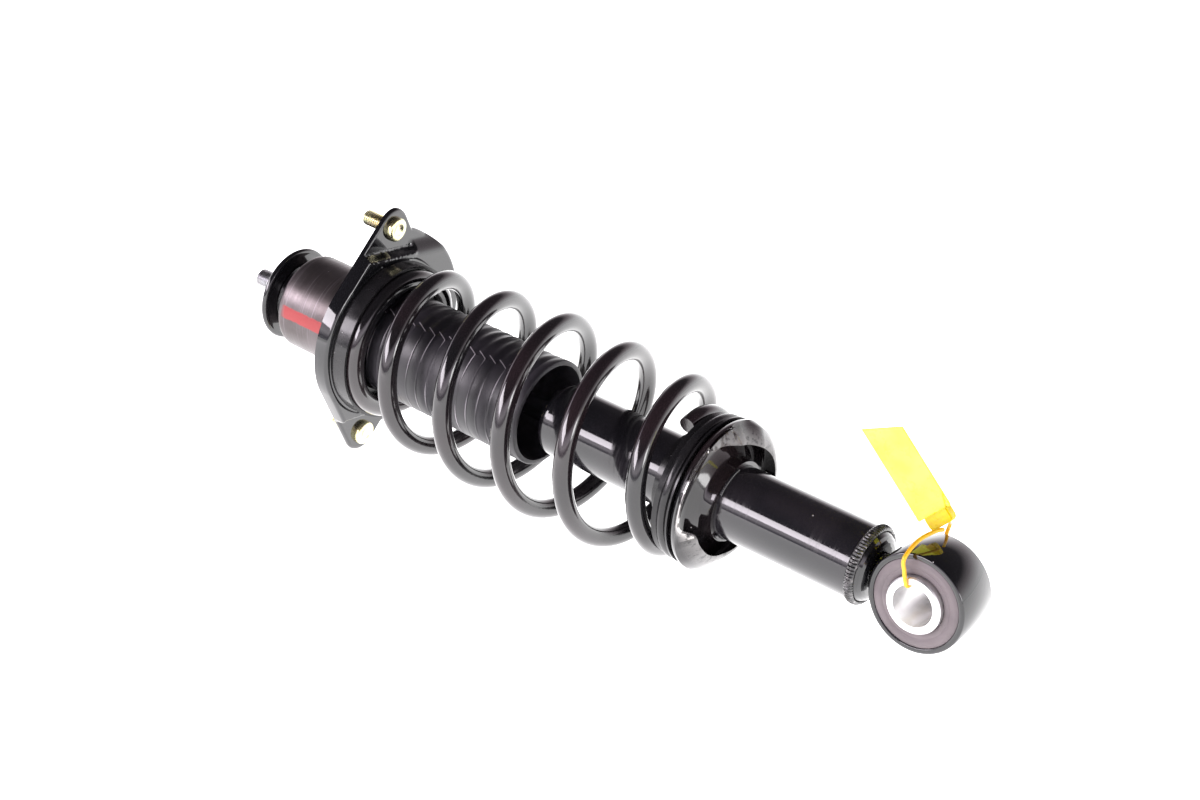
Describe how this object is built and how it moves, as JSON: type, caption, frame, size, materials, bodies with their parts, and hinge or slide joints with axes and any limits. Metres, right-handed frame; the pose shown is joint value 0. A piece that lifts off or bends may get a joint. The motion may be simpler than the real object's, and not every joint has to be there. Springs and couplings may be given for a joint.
{
  "type": "coil-over strut assembly",
  "caption": "Rear coil-over strut: damper with rod and coil spring between a studded top mount and a rubber-bushed lower eye, with dust boot and yellow seal tag.",
  "frame": {"origin": "centre of the lower eye's bore, halfway across its width", "axes": "+X up the strut's axis from the eye to the top mount, Y along the eye's bore, +Z square to both"},
  "size_m": [0.539, 0.1321, 0.1667],
  "materials": {
    "gloss_black_paint": "gloss black stove enamel",
    "tube_black_paint": "gloss black over drawn tube",
    "spring_black_coat": "gloss black powder coat",
    "satin_can_steel": "satin dark grey steel with a red stripe",
    "yellow_zinc": "yellow passivated zinc",
    "bright_zinc": "bright zinc plate",
    "rod_chrome": "hard chrome",
    "machined_steel": "machined steel",
    "sintered_iron": "sintered iron",
    "weld_steel": "painted weld bead",
    "black_rubber": "moulded black rubber",
    "bush_rubber": "dusty grey rubber",
    "boot_rubber": "semi-matt black rubber",
    "stop_foam": "cream polyurethane foam",
    "bronze_bush": "lined bronze bush",
    "filled_ptfe": "filled PTFE band",
    "stop_nylon": "natural nylon",
    "yellow_plastic": "yellow polypropylene"
  },
  "bodies": {
    "top_mount": {"mount_plate": "gloss_black_paint", "mount_can": "satin_can_steel", "mount_rubber": "black_rubber", "mount_sleeve": "machined_steel", "mount_studs": "yellow_zinc", "upper_spring_pad": "black_rubber", "upper_cup_washer": "gloss_black_paint", "lower_cup_washer": "machined_steel", "rod_nut": "bright_zinc", "piston_rod": "rod_chrome", "bump_stop": "stop_foam", "dust_boot": "boot_rubber", "coil_spring": "spring_black_coat", "rebound_stop": "stop_nylon", "rebound_collar": "machined_steel", "piston": "sintered_iron", "piston_band": "filled_ptfe", "rebound_shims": "machined_steel", "bump_shims": "machined_steel", "piston_nut": "machined_steel"},
    "damper_tube": {"outer_tube": "tube_black_paint", "pressure_tube": "machined_steel", "rod_guide": "sintered_iron", "guide_bush": "bronze_bush", "oil_seal": "black_rubber", "base_valve": "sintered_iron", "base_valve_shims": "machined_steel", "base_valve_pin": "machined_steel", "base_cap": "gloss_black_paint", "base_weld": "weld_steel", "spring_perch": "gloss_black_paint", "perch_welds": "weld_steel", "lower_spring_pad": "black_rubber", "eye_ring": "gloss_black_paint", "eye_weld": "weld_steel", "eye_rubber": "bush_rubber", "seal_tag": "yellow_plastic", "seal_lock": "yellow_plastic", "seal_strap": "yellow_plastic"},
    "bush_sleeve": {"eye_sleeve": "bright_zinc"}
  },
  "joints": [
    {"name": "damper_stroke", "type": "slide", "parent": "top_mount", "child": "damper_tube", "axis": [1, 0, 0], "range_m": [0, 0.09], "stiffness_N_per_m": 26000, "springref_m": -0.02, "deforming": ["coil_spring", "bump_stop"]},
    {"name": "lower_bush_twist", "type": "hinge", "parent": "damper_tube", "child": "bush_sleeve", "pos_m": [0, 0, 0], "axis": [0, 1, 0], "range_deg": [-18, 18], "stiffness_Nm_per_rad": 80}
  ]
}
